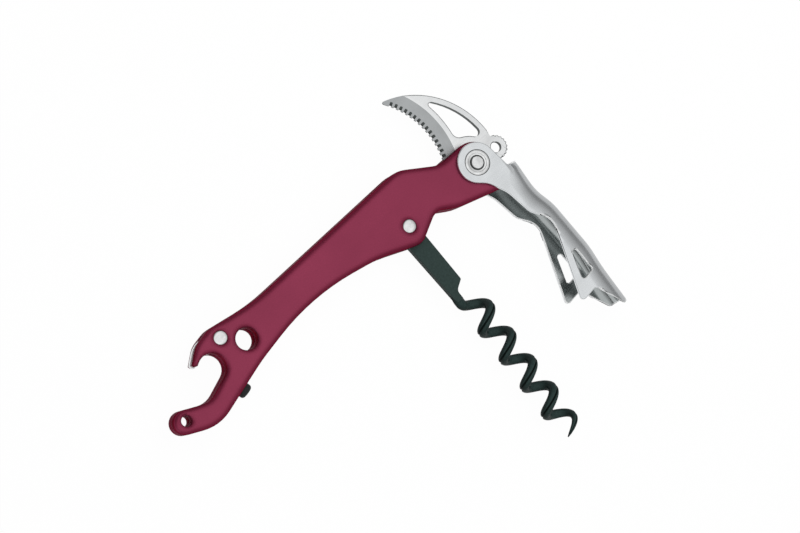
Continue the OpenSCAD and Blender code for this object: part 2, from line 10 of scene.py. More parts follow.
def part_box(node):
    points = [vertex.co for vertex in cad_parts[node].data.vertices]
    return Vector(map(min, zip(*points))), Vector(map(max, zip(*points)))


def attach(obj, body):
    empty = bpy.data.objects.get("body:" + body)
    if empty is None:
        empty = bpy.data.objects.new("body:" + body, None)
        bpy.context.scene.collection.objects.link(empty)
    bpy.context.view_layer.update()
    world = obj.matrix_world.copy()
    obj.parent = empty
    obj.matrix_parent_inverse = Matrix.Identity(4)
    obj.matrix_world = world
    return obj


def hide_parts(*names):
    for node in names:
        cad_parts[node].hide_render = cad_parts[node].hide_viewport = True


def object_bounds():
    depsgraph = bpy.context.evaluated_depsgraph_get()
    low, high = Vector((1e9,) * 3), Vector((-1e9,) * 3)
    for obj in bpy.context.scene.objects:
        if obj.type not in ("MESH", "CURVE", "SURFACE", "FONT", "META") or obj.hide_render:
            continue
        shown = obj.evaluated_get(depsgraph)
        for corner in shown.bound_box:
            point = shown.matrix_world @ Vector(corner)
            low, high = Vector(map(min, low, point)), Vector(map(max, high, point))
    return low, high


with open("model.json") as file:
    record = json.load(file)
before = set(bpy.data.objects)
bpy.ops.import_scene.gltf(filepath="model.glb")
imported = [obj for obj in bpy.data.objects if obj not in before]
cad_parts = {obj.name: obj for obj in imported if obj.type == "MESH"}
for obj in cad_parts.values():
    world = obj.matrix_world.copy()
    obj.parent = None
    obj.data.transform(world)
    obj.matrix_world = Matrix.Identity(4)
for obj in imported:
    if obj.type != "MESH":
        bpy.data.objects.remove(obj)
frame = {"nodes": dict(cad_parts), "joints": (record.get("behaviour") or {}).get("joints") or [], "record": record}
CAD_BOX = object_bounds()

bl_info = {
    "name": "Lever corkscrew",
    "version": (1, 0, 0),
    "blender": (4, 5, 0),
    "location": "View3D > Sidebar > Corkscrew",
    "description": "Models and finishes the pieces of a folding lever corkscrew",
    "category": "Add Mesh",
}

MM = 0.001


def joint_place(name):
    """Point that a hinge of the frame turns about."""
    for joint in frame["joints"]:
        if joint["name"] == name:
            return Vector(joint["pos_m"])
    raise KeyError(name)


def own_frame(joint, angle):
    """Frame of a piece that swings: its hinge at the origin, +X along the piece."""
    return Matrix.Translation(joint_place(joint)) @ Matrix.Rotation(math.radians(angle), 4, "Z")


def half_size(node):
    """Half the size of a CAD node's box, along each axis."""
    low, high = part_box(node)
    return (high - low) / 2


def middle(node):
    """Middle of a CAD node's box."""
    return sum(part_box(node), Vector()) / 2


# Directions of the swinging pieces at rest, in degrees from +X
LEVER_WAY = -84
BLADE_WAY = 105
WORM_WAY = -93
LEVER = own_frame("lever_swing", LEVER_WAY)
BLADE = own_frame("blade_fold", BLADE_WAY)
WORM = own_frame("worm_fold", WORM_WAY)
HANDLE_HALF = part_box("near_cheek")[1].z
LEVER_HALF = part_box("lever")[1].z
FLOOR_Z = CAD_BOX[0][2]
HOLES = [(Vector(mount["pos_m"]), mount["dims"]["r_mm"] * MM) for mount in frame["record"]["mounts"]]
RIVETS = ("opener_rivet", "worm_rivet")


class HandleLook(bpy.types.PropertyGroup):
    """Handle and the bores in it"""
    dye: bpy.props.FloatVectorProperty(
        name="Dye", description="Colour of the anodised aluminium", subtype="COLOR",
        default=(0.26, 0.041, 0.082), min=0, max=1)
    sheen: bpy.props.FloatVectorProperty(
        name="Sheen", description="Colour of its reflections at low angles", subtype="COLOR",
        default=(0.31, 0.065, 0.14), min=0, max=1)
    # Soft edge: radius over which the edge normals are softened; the painted shade along the handle's edges
    # follows these normals too
    soft: bpy.props.FloatProperty(
        name="Soft edge", description="Reach of the soft shading along the handle's edges",
        default=2.6 * MM, unit="LENGTH")
    roughness: bpy.props.FloatProperty(
        name="Roughness", description="Roughness of the anodised aluminium", default=0.3, min=0, max=1)
    rim: bpy.props.FloatProperty(
        name="Hole rims", description="Rounding of the lanyard and hanging holes",
        default=0.8 * MM, unit="LENGTH")
    seat: bpy.props.FloatProperty(
        name="Rivet seats", description="Rounding of the bores that the rivets lie in",
        default=0.15 * MM, unit="LENGTH")


class SteelLook(bpy.types.PropertyGroup):
    """Lever, blade and pins"""
    lever: bpy.props.FloatVectorProperty(
        name="Lever", description="Colour of the lever's satin steel", subtype="COLOR",
        default=(0.71, 0.733, 0.747), min=0, max=1)
    # Painted shade: the inside of the lever's channel gets this darker steel colour for the shade that falls there
    inside: bpy.props.FloatVectorProperty(
        name="Lever's inside", description="Colour of the dull steel inside the lever", subtype="COLOR",
        default=(0.38, 0.405, 0.405), min=0, max=1)
    crown: bpy.props.FloatProperty(
        name="Lever's back", description="Depth over which the lever's sides round into its back",
        default=9.5 * MM, unit="LENGTH")
    blade: bpy.props.FloatVectorProperty(
        name="Blade", description="Colour of the blade's flat steel", subtype="COLOR",
        default=(0.81, 0.822, 0.826), min=0, max=1)
    # Painted shade: the tilted ground bevel gets a darker steel colour than the flats, for the dimmer light it
    # reflects; its brush and roughness are its own
    ground: bpy.props.FloatVectorProperty(
        name="Ground bevel", description="Colour of the blade's ground bevel", subtype="COLOR",
        default=(0.41, 0.425, 0.43), min=0, max=1)
    # Painted shade: the blade's stamped walls and grooves, and the recess round the main pin, get this dark colour
    # for the shade that falls in them
    cut: bpy.props.FloatVectorProperty(
        name="Cut walls", description="Colour of the blade's stamped walls and grooves", subtype="COLOR",
        default=(0.09, 0.1, 0.098), min=0, max=1)
    bright: bpy.props.FloatVectorProperty(
        name="Pins", description="Colour of the bright pins and rivets", subtype="COLOR",
        default=(0.80, 0.81, 0.81), min=0, max=1)
    edge: bpy.props.FloatProperty(
        name="Sheet edges", description="Rounding of the lever's cut edges",
        default=0.36 * MM, unit="LENGTH")
    # Painted highlight: a lighter colour on the lever's rounded cut edges, for the light they catch
    rim: bpy.props.FloatVectorProperty(
        name="Lever's edges", description="Colour of the lever's tumbled edges", subtype="COLOR",
        default=(0.9, 0.91, 0.91), min=0, max=1)
    blade_edge: bpy.props.FloatProperty(
        name="Blade edges", description="Rounding of the blade's cut edges",
        default=0.3 * MM, unit="LENGTH")


class WormLook(bpy.types.PropertyGroup):
    """Worm and its rubber rest"""
    coat: bpy.props.FloatVectorProperty(
        name="Tang coat", description="Colour of the coat on the flat tang", subtype="COLOR",
        default=(0.034, 0.053, 0.049), min=0, max=1)
    wire_coat: bpy.props.FloatVectorProperty(
        name="Wire coat", description="Colour of the coat on the wire", subtype="COLOR",
        default=(0.029, 0.048, 0.045), min=0, max=1)
    # Painted shade: the groove's faces get this near-black colour for the shade in the groove
    groove_painted_shade: bpy.props.FloatVectorProperty(
        name="Groove coat", description="Colour of the coat in the wire's groove", subtype="COLOR",
        default=(0.005, 0.008, 0.0075), min=0, max=1)
    rubber: bpy.props.FloatVectorProperty(
        name="Rubber", description="Colour of the rest", subtype="COLOR",
        default=(0.012, 0.014, 0.014), min=0, max=1)
    wire: bpy.props.FloatProperty(
        name="Wire", description="Thickness of the helix wire", default=3.3 * MM, unit="LENGTH")
    outside: bpy.props.FloatProperty(
        name="Helix", description="Outside diameter of the helix", default=10.3 * MM, unit="LENGTH")
    pitch: bpy.props.FloatProperty(
        name="Pitch", description="Pitch of the helix", default=11.3 * MM, unit="LENGTH")
    turns: bpy.props.FloatProperty(name="Turns", description="Turns of the helix", default=4.9)
    groove: bpy.props.FloatProperty(
        name="Groove", description="Depth of the groove along the outside of the wire",
        default=0.36 * MM, unit="LENGTH")


class StageLook(bpy.types.PropertyGroup):
    """Camera, floor and light"""
    camera_at: bpy.props.FloatVectorProperty(
        name="Camera", description="Place of the camera", subtype="XYZ", unit="LENGTH",
        default=(-0.08428, 0.04431, 0.56625))
    camera_to: bpy.props.FloatVectorProperty(
        name="Target", description="Point that the camera looks at", subtype="XYZ", unit="LENGTH",
        default=(0.08478, -0.00898, 0.0))
    camera_up: bpy.props.FloatVectorProperty(
        name="Up", description="Direction that is up in the picture", subtype="DIRECTION",
        default=(0.6410, 0.7581, 0.1201))
    lens: bpy.props.FloatProperty(
        name="Lens", description="Focal length on a 36 mm sensor, in millimetres", default=83.52)
    floor: bpy.props.FloatVectorProperty(
        name="Floor", description="Colour of the floor", subtype="COLOR",
        default=(0.98, 0.98, 0.98), min=0, max=1)
    glow: bpy.props.FloatProperty(
        name="White", description="Share of the floor's white that no shadow dims",
        default=0.97, min=0, max=1)
    bounce: bpy.props.FloatProperty(
        name="Bounce", description="Share of the light that the floor sends back up",
        default=0.14, min=0, max=1)
    key: bpy.props.FloatProperty(
        name="Key lamp", description="Power of the lamp beside the object", default=0.52, unit="POWER")
    lamp_at: bpy.props.FloatVectorProperty(
        name="Lamp", description="Place of the lamp", subtype="XYZ", unit="LENGTH",
        default=(0.2, 0.03, 0.34))
    lamp_size: bpy.props.FloatProperty(
        name="Lamp size", description="Width of the square lamp", default=0.3, unit="LENGTH")
    sky: bpy.props.FloatProperty(
        name="Sky", description="Strength of the light all round", default=1.0)


def look(name):
    """Property group of the scene, by its short name."""
    return getattr(bpy.context.scene, "corkscrew_" + name)


def only(obj):
    """Selects obj alone and makes it active."""
    bpy.ops.object.select_all(action="DESELECT")
    obj.select_set(True)
    bpy.context.view_layer.objects.active = obj


def started(name):
    """Names the primitive that was just added, with its place and turn moved into its mesh."""
    piece = bpy.context.object
    piece.name = name
    piece.data.name = name
    only(piece)
    bpy.ops.object.transform_apply(location=True, rotation=True, scale=True)
    return piece


def copy_of(node, name):
    """Piece from a CAD node's mesh, merged, with its flat faces made whole."""
    piece = bpy.data.objects.new(name, frame["nodes"][node].data.copy())
    bpy.context.scene.collection.objects.link(piece)
    piece.data.materials.clear()
    only(piece)
    bpy.ops.mesh.customdata_custom_splitnormals_clear()
    bpy.ops.object.mode_set(mode="EDIT")
    bpy.ops.mesh.select_all(action="SELECT")
    bpy.ops.mesh.remove_doubles(threshold=0.002 * MM)
    bpy.ops.mesh.dissolve_limited(angle_limit=math.radians(0.2))
    done()
    return piece


def choose(piece, kind, wanted):
    """Enters edit mode with the faces or edges selected for which wanted is true."""
    only(piece)
    bpy.ops.object.mode_set(mode="EDIT")
    bpy.ops.mesh.select_mode(type=kind)
    bpy.ops.mesh.select_all(action="DESELECT")
    mesh = bmesh.from_edit_mesh(piece.data)
    for item in (mesh.faces if kind == "FACE" else mesh.edges):
        item.select_set(bool(wanted(item)))
    bmesh.update_edit_mesh(piece.data)


def done():
    """Leaves edit mode."""
    bpy.ops.object.mode_set(mode="OBJECT")


def round_edges(piece, wanted, width, segments=3, material=-1):
    """Bevels the edges for which wanted is true, in a finish of their own where one is given."""
    choose(piece, "EDGE", wanted)
    bpy.ops.mesh.bevel(offset=width, segments=segments, clamp_overlap=False, affect="EDGES",
                       material=material)
    done()


def tube(name, rings):
    """Closed piece through rings of points: a grid wrapped round, seamed and closed at its ends."""
    around = len(rings[0])
    bpy.ops.mesh.primitive_grid_add(x_subdivisions=around, y_subdivisions=len(rings) - 1, size=MM)
    piece = started(name)
    for vertex in piece.data.vertices:
        row, column = divmod(vertex.index, around + 1)
        vertex.co = rings[row][column % around]
    only(piece)
    bpy.ops.object.mode_set(mode="EDIT")
    bpy.ops.mesh.select_all(action="SELECT")
    bpy.ops.mesh.remove_doubles(threshold=0.001 * MM)
    bpy.ops.mesh.fill_holes(sides=0)
    bpy.ops.mesh.normals_make_consistent(inside=False)
    done()
    return piece


def turned(name, profile, at, steps=72):
    """Piece spun from a closed profile of radii and heights about an upright axis."""
    bpy.ops.mesh.primitive_circle_add(vertices=len(profile), radius=MM)
    piece = started(name)
    for vertex, (radius, height) in zip(piece.data.vertices, profile):
        vertex.co = (at.x + radius, at.y, height)
    only(piece)
    bpy.ops.object.mode_set(mode="EDIT")
    bpy.ops.mesh.select_all(action="SELECT")
    bpy.ops.mesh.spin(steps=steps, angle=math.tau, center=(at.x, at.y, 0), axis=(0, 0, 1))
    bpy.ops.mesh.select_all(action="SELECT")
    bpy.ops.mesh.remove_doubles(threshold=0.001 * MM)
    bpy.ops.mesh.normals_make_consistent(inside=False)
    done()
    return piece


def both_ends(top):
    """Closed profile from the upper half of one, which starts on the axis."""
    return [(r, -z) for r, z in top] + [(r, z) for r, z in reversed(top)]


def combined(piece, operation, other):
    """Intersects a piece with another shape, or cuts that out of it. The other is used up."""
    only(piece)
    bpy.ops.object.modifier_add(type="BOOLEAN")
    modifier = piece.modifiers[-1]
    modifier.operation = operation
    modifier.object = other
    bpy.ops.object.modifier_apply(modifier=modifier.name)
    bpy.data.objects.remove(other)


def joined(pieces):
    """One piece from several."""
    only(pieces[0])
    for piece in pieces[1:]:
        piece.select_set(True)
    bpy.ops.object.join()
    return pieces[0]


def sharp(angle):
    """Test for edges that turn by more than angle, in degrees."""
    limit = math.radians(angle)
    return lambda edge: edge.is_manifold and edge.calc_face_angle() > limit


def on_circle(centre, radius, height):
    """Test for edges on a circle about an upright axis, at a height."""
    return lambda edge: all(abs(v.co.z - height) < 0.01 * MM
                            and abs((v.co.xy - centre.xy).length - radius) < 0.05 * MM
                            for v in edge.verts)


def shaded(piece, angle=38):
    """Smooth shading that keeps flat faces flat."""
    only(piece)
    bpy.ops.object.shade_smooth_by_angle(angle=math.radians(angle))
    bpy.ops.object.modifier_add(type="WEIGHTED_NORMAL")
    weighted = piece.modifiers[-1]
    weighted.keep_sharp = True
    bpy.ops.object.modifier_apply(modifier=weighted.name)


def fit(piece, body, slot, nodes, *materials):
    """Finishes a piece and sets it in the frame in place of its CAD nodes."""
    for material in materials:
        piece.data.materials.append(material)
    shaded(piece)
    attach(piece, body)
    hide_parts(*nodes)


def finish(name, colour, metallic, roughness):
    """New material: its tree and its shader."""
    material = bpy.data.materials.new(name)
    material.use_nodes = True
    shader = material.node_tree.nodes["Principled BSDF"]
    shader.inputs["Base Color"].default_value = (*colour, 1)
    shader.inputs["Metallic"].default_value = metallic
    shader.inputs["Roughness"].default_value = roughness
    return material, material.node_tree, shader


def grain(tree, scale, detail=4.0, turn=0.0):
    """Noise on Object coordinates, with a scale for each axis after a turn about Z."""
    place = tree.nodes.new("ShaderNodeTexCoord")
    mapping = tree.nodes.new("ShaderNodeMapping")
    mapping.inputs["Rotation"].default_value[2] = turn
    mapping.inputs["Scale"].default_value = scale
    noise = tree.nodes.new("ShaderNodeTexNoise")
    noise.inputs["Scale"].default_value = 1.0
    noise.inputs["Detail"].default_value = detail
    tree.links.new(place.outputs["Object"], mapping.inputs["Vector"])
    tree.links.new(mapping.outputs["Vector"], noise.inputs["Vector"])
    return noise.outputs["Fac"]


def spread(tree, source, low, high):
    """Source from 0.3 to 0.7 spread from low to high."""
    node = tree.nodes.new("ShaderNodeMapRange")
    for socket, value in zip(("From Min", "From Max", "To Min", "To Max"), (0.3, 0.7, low, high)):
        node.inputs[socket].default_value = value
    tree.links.new(source, node.inputs["Value"])
    return node.outputs["Result"]


def shades(tree, source, low, high):
    """Colour from low to high as source goes from 0.3 to 0.7."""
    ramp = tree.nodes.new("ShaderNodeValToRGB")
    ramp.color_ramp.elements[0].position = 0.3
    ramp.color_ramp.elements[0].color = (*low, 1)
    ramp.color_ramp.elements[1].position = 0.7
    ramp.color_ramp.elements[1].color = (*high, 1)
    tree.links.new(source, ramp.inputs["Fac"])
    return ramp.outputs["Color"]


def relief(tree, shader, source, strength, depth):
    """Bump node of the shader from source, with its depth in metres."""
    bump = tree.nodes.new("ShaderNodeBump")
    bump.inputs["Strength"].default_value = strength
    bump.inputs["Distance"].default_value = depth
    tree.links.new(source, bump.inputs["Height"])
    tree.links.new(bump.outputs["Normal"], shader.inputs["Normal"])
    return bump


def tinted(colour, factor):
    """Colour times a factor, white at most."""
    return tuple(min(1.0, c * factor) for c in colour)


def anodised_aluminium():
    """Dyed satin aluminium with a fine blasted grain, and painted shade that darkens and reddens its colour along
    the edges that lean across the handle.
    """
    values = look("handle")
    material, tree, shader = finish("anodised_aluminium", values.dye, 0.58, values.roughness)
    shader.inputs["Specular IOR Level"].default_value = 0.0
    shader.inputs["Specular Tint"].default_value = (*values.sheen, 1)
    cloud = grain(tree, (55, 55, 55), 3)
    fine = grain(tree, (5200, 5200, 5200), 2)
    colour = shades(tree, cloud, tinted(values.dye, 0.93), tinted(values.dye, 1.06))
    tree.links.new(colour, shader.inputs["Base Color"])
    tree.links.new(spread(tree, fine, values.roughness - 0.05, values.roughness + 0.05),
                   shader.inputs["Roughness"])
    bump = relief(tree, shader, fine, 0.12, 0.02 * MM)
    soft = tree.nodes.new("ShaderNodeBevel")
    soft.samples = 8
    soft.inputs["Radius"].default_value = values.soft
    tree.links.new(soft.outputs["Normal"], bump.inputs["Normal"])
    turn = tree.nodes.new("ShaderNodeVectorTransform")
    turn.vector_type = "NORMAL"
    turn.convert_from = "WORLD"
    turn.convert_to = "OBJECT"
    tree.links.new(soft.outputs["Normal"], turn.inputs["Vector"])
    # Painted shade: the colour is darkened and deepened where the softened normal leans along Y, across the
    # handle's long edges
    paint_shade_by_lean(tree, turn.outputs["Vector"], "Y", ((0.06, 1.0), (0.26, (0.87, 0.73, 0.79)),
                                                (0.65, (0.73, 0.48, 0.58)), (1.0, (0.71, 0.45, 0.55))))
    return material


def brushed_steel(name, colour, roughness, turn, lines=9000):
    """Steel with fine lines along the direction turn."""
    material, tree, shader = finish(name, colour, 1.0, roughness)
    strokes = grain(tree, (140, lines, lines), 3, -turn)
    cloud = grain(tree, (160, 160, 160), 3)
    tree.links.new(shades(tree, cloud, tinted(colour, 0.95), tinted(colour, 1.05)),
                   shader.inputs["Base Color"])
    tree.links.new(spread(tree, strokes, roughness - 0.05, roughness + 0.07), shader.inputs["Roughness"])
    relief(tree, shader, strokes, 0.1, 0.01 * MM)
    return material


def paint_shade_facing(tree, way, steps):
    """Painted shade: dims a material's colour where it faces way, by steps of the cosine and the share that stays.
    """
    place = tree.nodes.new("ShaderNodeTexCoord")
    facing = tree.nodes.new("ShaderNodeVectorMath")
    facing.operation = "DOT_PRODUCT"
    facing.inputs[1].default_value = way
    tree.links.new(place.outputs["Normal"], facing.inputs[0])
    paint_shade(tree, facing.outputs["Value"], steps)


def paint_shade_by_lean(tree, normal, axis, steps):
    """Painted shade: dims a material's colour by how far its normal lies along an axis, either way."""
    parts = tree.nodes.new("ShaderNodeSeparateXYZ")
    size = tree.nodes.new("ShaderNodeMath")
    size.operation = "ABSOLUTE"
    tree.links.new(normal, parts.inputs["Vector"])
    tree.links.new(parts.outputs[axis], size.inputs[0])
    paint_shade(tree, size.outputs["Value"], steps)


def paint_shade(tree, source, steps):
    """Multiplies a material's colour by the levels of a source, as painted shade."""
    colour = tree.nodes["Principled BSDF"].inputs["Base Color"]
    product = blended(tree, "MULTIPLY", colour.links[0].from_socket, levels(tree, source, steps))
    tree.links.new(product, colour)


def blended(tree, blend, first, second):
    """Two colours in one."""
    node = tree.nodes.new("ShaderNodeMix")
    node.data_type = "RGBA"
    node.blend_type = blend
    node.inputs["Factor"].default_value = 1.0
    tree.links.new(first, node.inputs["A"])
    tree.links.new(second, node.inputs["B"])
    return node.outputs["Result"]


def levels(tree, source, steps):
    """Grey levels or colours of a source from 0 to 1."""
    ramp = tree.nodes.new("ShaderNodeValToRGB")
    elements = ramp.color_ramp.elements
    while len(elements) < len(steps):
        elements.new(1.0)
    for element, (place, level) in zip(elements, steps):
        element.position = place
        element.color = (*level, 1) if isinstance(level, tuple) else (level, level, level, 1)
    tree.links.new(source, ramp.inputs["Fac"])
    return ramp.outputs["Color"]


def bright_steel():
    """Polished steel with faint marks of the hammer and cloth."""
    colour = look("steel").bright
    material, tree, shader = finish("bright_steel", colour, 1.0, 0.2)
    marks = grain(tree, (900, 900, 900), 2)
    dents = grain(tree, (620, 620, 620), 2)
    tree.links.new(shades(tree, dents, tinted(colour, 0.8), tinted(colour, 1.04)),
                   shader.inputs["Base Color"])
    tree.links.new(spread(tree, marks, 0.14, 0.28), shader.inputs["Roughness"])
    relief(tree, shader, marks, 0.25, 0.05 * MM)
    return material


def dark_coat(name, colour, specular, roughness):
    """Dark non-stick coat with a slight mottle."""
    material, tree, shader = finish(name, colour, 0.0, roughness)
    shader.inputs["Specular IOR Level"].default_value = specular
    mottle = grain(tree, (1400, 1400, 1400), 3)
    tree.links.new(shades(tree, mottle, tinted(colour, 0.88), tinted(colour, 1.14)),
                   shader.inputs["Base Color"])
    tree.links.new(spread(tree, mottle, roughness - 0.06, roughness + 0.08), shader.inputs["Roughness"])
    relief(tree, shader, mottle, 0.1, 0.02 * MM)
    return material


def soft_rubber():
    """Matt black rubber with a moulded grain."""
    colour = look("worm").rubber
    material, tree, shader = finish("soft_rubber", colour, 0.0, 0.75)
    skin = grain(tree, (3500, 3500, 3500), 2)
    tree.links.new(shades(tree, skin, tinted(colour, 0.8), tinted(colour, 1.3)),
                   shader.inputs["Base Color"])
    relief(tree, shader, skin, 0.2, 0.03 * MM)
    return material


def plain_washer(name, colour, metallic):
    """Washer metal or nylon with turned marks."""
    material, tree, shader = finish(name, colour, metallic, 0.4)
    marks = grain(tree, (1800, 1800, 1800), 2)
    tree.links.new(shades(tree, marks, tinted(colour, 0.88), tinted(colour, 1.1)),
                   shader.inputs["Base Color"])
    tree.links.new(spread(tree, marks, 0.32, 0.5), shader.inputs["Roughness"])
    return material


class CORKSCREW_OT_handle(bpy.types.Operator):
    """Two anodised cheeks with rounded hole rims"""
    bl_idname = "corkscrew.handle"
    bl_label = "Handle"

    # Largest rounding of a hole's rim as a share of its radius, and the play round a rivet's head
    rim_share = 0.28
    seat_play = 0.02 * MM

    def execute(self, context):
        material = anodised_aluminium()
        values = look("handle")
        rims = [(at, radius, min(values.rim, self.rim_share * radius)) for at, radius in HOLES]
        rims += [(middle(node), half_size(node).x + self.seat_play, values.seat) for node in RIVETS]
        for side, node in ((1, "near_cheek"), (-1, "far_cheek")):
            piece = copy_of(node, "handle_" + node.split("_")[0])
            for centre, radius, width in rims:
                round_edges(piece, on_circle(centre, radius, side * HANDLE_HALF), width, 4)
            fit(piece, "handle", "anodised", [node], material)
        return {"FINISHED"}


class CORKSCREW_OT_opener(bpy.types.Operator):
    """Steel tooth of the cap opener"""
    bl_idname = "corkscrew.opener"
    bl_label = "Cap opener"

    def execute(self, context):
        piece = copy_of("opener_plate", "opener_tooth")
        round_edges(piece, sharp(40), 0.5 * look("steel").blade_edge, 2)
        fit(piece, "handle", "blade_steel", ["opener_plate"],
            brushed_steel("opener_steel", look("steel").blade, 0.3, 0.6))
        return {"FINISHED"}


class CORKSCREW_OT_rivets(bpy.types.Operator):
    """Rivets with flush, slightly domed heads"""
    bl_idname = "corkscrew.rivets"
    bl_label = "Rivets"

    shank = 1.6 * MM

    def execute(self, context):
        material = bright_steel()
        for node in RIVETS:
            size = half_size(node)
            head, top = size.x, size.z
            half = [(0, top), (0.55 * head, top - 0.01 * MM), (0.82 * head, top - 0.07 * MM),
                    (0.95 * head, top - 0.18 * MM), (head, top - 0.36 * MM), (head, top - MM),
                    (self.shank, top - MM)]
            piece = turned(node + "_bright", both_ends(half), middle(node))
            fit(piece, "handle", "bright_steel", [node], material)
        return {"FINISHED"}


class CORKSCREW_OT_worm(bpy.types.Operator):
    """Coated worm: flat tang and grooved, pointed wire"""
    bl_idname = "corkscrew.worm"
    bl_label = "Worm"

    # Points round the wire, and rings in a turn and in the lead from the tang to the helix
    around = 60
    per_turn = 64
    lead_rings = 24
    # Helix in the worm's own frame: its axis, the turn at its start, and the turn where the lead ends
    axis_y = 3.25 * MM
    first = math.radians(180)
    sweep = math.radians(225)
    wire_start = 30.2 * MM
    # Lead: where it starts, the pull on its curve, its thickness at the start and its swell half way
    lead_from = Vector((25.4, -0.3, 0)) * MM
    lead_pull = Vector((3.6, -0.2, 0.15)) * MM
    lead_share = 0.86
    lead_swell = 0.16
    # Groove: the angle round the wire in which it dies out, and its columns of faces on each side that get painted
    # shade
    groove_angle = math.radians(11)
    groove_half = 2
    # Point: the turns over which the wire thins, and the radius at its end
    point_turn = 0.75
    point_r = 0.24 * MM
    # Tang: where it ends, half its thickness at most, the rounding of its edges and the box's height
    tang_end = 29.2 * MM
    tang_half = 1.52 * MM
    tang_edge = 0.16 * MM
    box_height = 20 * MM

    def execute(self, context):
        piece = copy_of("worm", "worm_coated")
        self.keep_tang(piece)
        values = look("worm")
        piece.data.materials.append(dark_coat("tang_coat", values.coat, 0.03, 0.45))
        wire = tube("worm_wire", self.rings(values))
        coat = dark_coat("wire_coat", values.wire_coat, 0.04, 0.4)
        # Painted shade: the wire's colour is dimmed on the sides whose normals lean away from Z, as if lit from
        # above
        place = coat.node_tree.nodes.new("ShaderNodeTexCoord")
        paint_shade_by_lean(coat.node_tree, place.outputs["Normal"], "Z", ((0.0, 0.5), (0.4, 0.56), (0.8, 1.0)))
        for material in (coat, dark_coat("groove_painted_shade", values.groove_painted_shade, 0.02, 0.5)):
            wire.data.materials.append(material)
        self.paint_groove_shade(wire)
        fit(joined([piece, wire]), "worm", "worm_coat", ["worm"])
        return {"FINISHED"}

    def paint_groove_shade(self, wire):
        """Gives the faces in the groove, on both sides of the first column, a darker colour as painted shade."""
        for face in wire.data.polygons:
            column = face.index % self.around
            if len(face.vertices) == 4 and min(column, self.around - 1 - column) < self.groove_half:
                face.material_index = 1

    def keep_tang(self, piece):
        """Cuts the wire off the tang, and rounds the tang's edges up to the cut."""
        size = (2 * self.tang_end, self.box_height, 2 * self.tang_half)
        bpy.ops.mesh.primitive_cube_add(size=1, scale=size)
        box = started("tang_box")
        box.data.transform(WORM)
        combined(piece, "INTERSECT", box)
        back = WORM.inverted()
        end = self.tang_end - 0.05 * MM
        bent = sharp(50)
        round_edges(piece, lambda edge: bent(edge) and all((back @ v.co).x < end for v in edge.verts),
                    self.tang_edge, 2)

    def place(self, values, turn):
        """Point of the helix at a turn."""
        radius = (values.outside - values.wire) / 2
        return Vector((self.wire_start + values.pitch * (turn - self.first) / math.tau,
                       self.axis_y + radius * math.cos(turn), radius * math.sin(turn)))

    def path(self, values):
        """Points along the wire, from inside the tang to the point."""
        last = self.first + values.turns * math.tau
        step = math.tau / self.per_turn
        start = self.place(values, self.sweep)
        way = (self.place(values, self.sweep + step) - start).normalized()
        pulls = (self.lead_from, self.lead_from + self.lead_pull,
                 start - 0.4 * self.lead_pull.length * way, start)
        points = []
        for i in range(self.lead_rings):
            t = i / self.lead_rings
            weights = ((1 - t) ** 3, 3 * t * (1 - t) ** 2, 3 * t * t * (1 - t), t ** 3)
            points.append(sum((w * p for w, p in zip(weights, pulls)), Vector()))
        count = math.ceil((last - self.sweep) / step)
        points += [self.place(values, self.sweep + (last - self.sweep) * i / count) for i in range(count + 1)]
        return points

    def rings(self, values):
        """Grooved sections along the wire, drawn out to the point."""
        points = self.path(values)
        wire = values.wire / 2
        rings = []
        for i, point in enumerate(points):
            way = (points[min(i + 1, len(points) - 1)] - points[max(i - 1, 0)]).normalized()
            away = Vector((0, point.y - self.axis_y, point.z))
            out = (away - away.dot(way) * way).normalized()
            across = way.cross(out)
            left = (len(points) - 1 - i) / (self.point_turn * self.per_turn)
            fade = min(1, i / self.lead_rings)
            swell = self.lead_share + (1 - self.lead_share) * fade
            share = max(self.point_r / wire, min(swell, math.sqrt(left)))
            wide = 1 + self.lead_swell * math.sin(math.pi * fade) ** 2
            ring = []
            for k in range(self.around):
                angle = math.tau * k / self.around
                off = min(angle, math.tau - angle)
                radius = share * (wire - fade * values.groove * math.exp(-(off / self.groove_angle) ** 2))
                way_out = wide * math.cos(angle) * out + math.sin(angle) * across
                ring.append(WORM @ (point + radius * way_out))
            rings.append(ring)
        return rings


class CORKSCREW_OT_rest(bpy.types.Operator):
    """Rubber rest of the folded worm"""
    bl_idname = "corkscrew.rest"
    bl_label = "Rest"

    def execute(self, context):
        piece = copy_of("worm_rest", "rest_peg")
        fit(piece, "handle", "rest_rubber", ["worm_rest"], soft_rubber())
        return {"FINISHED"}


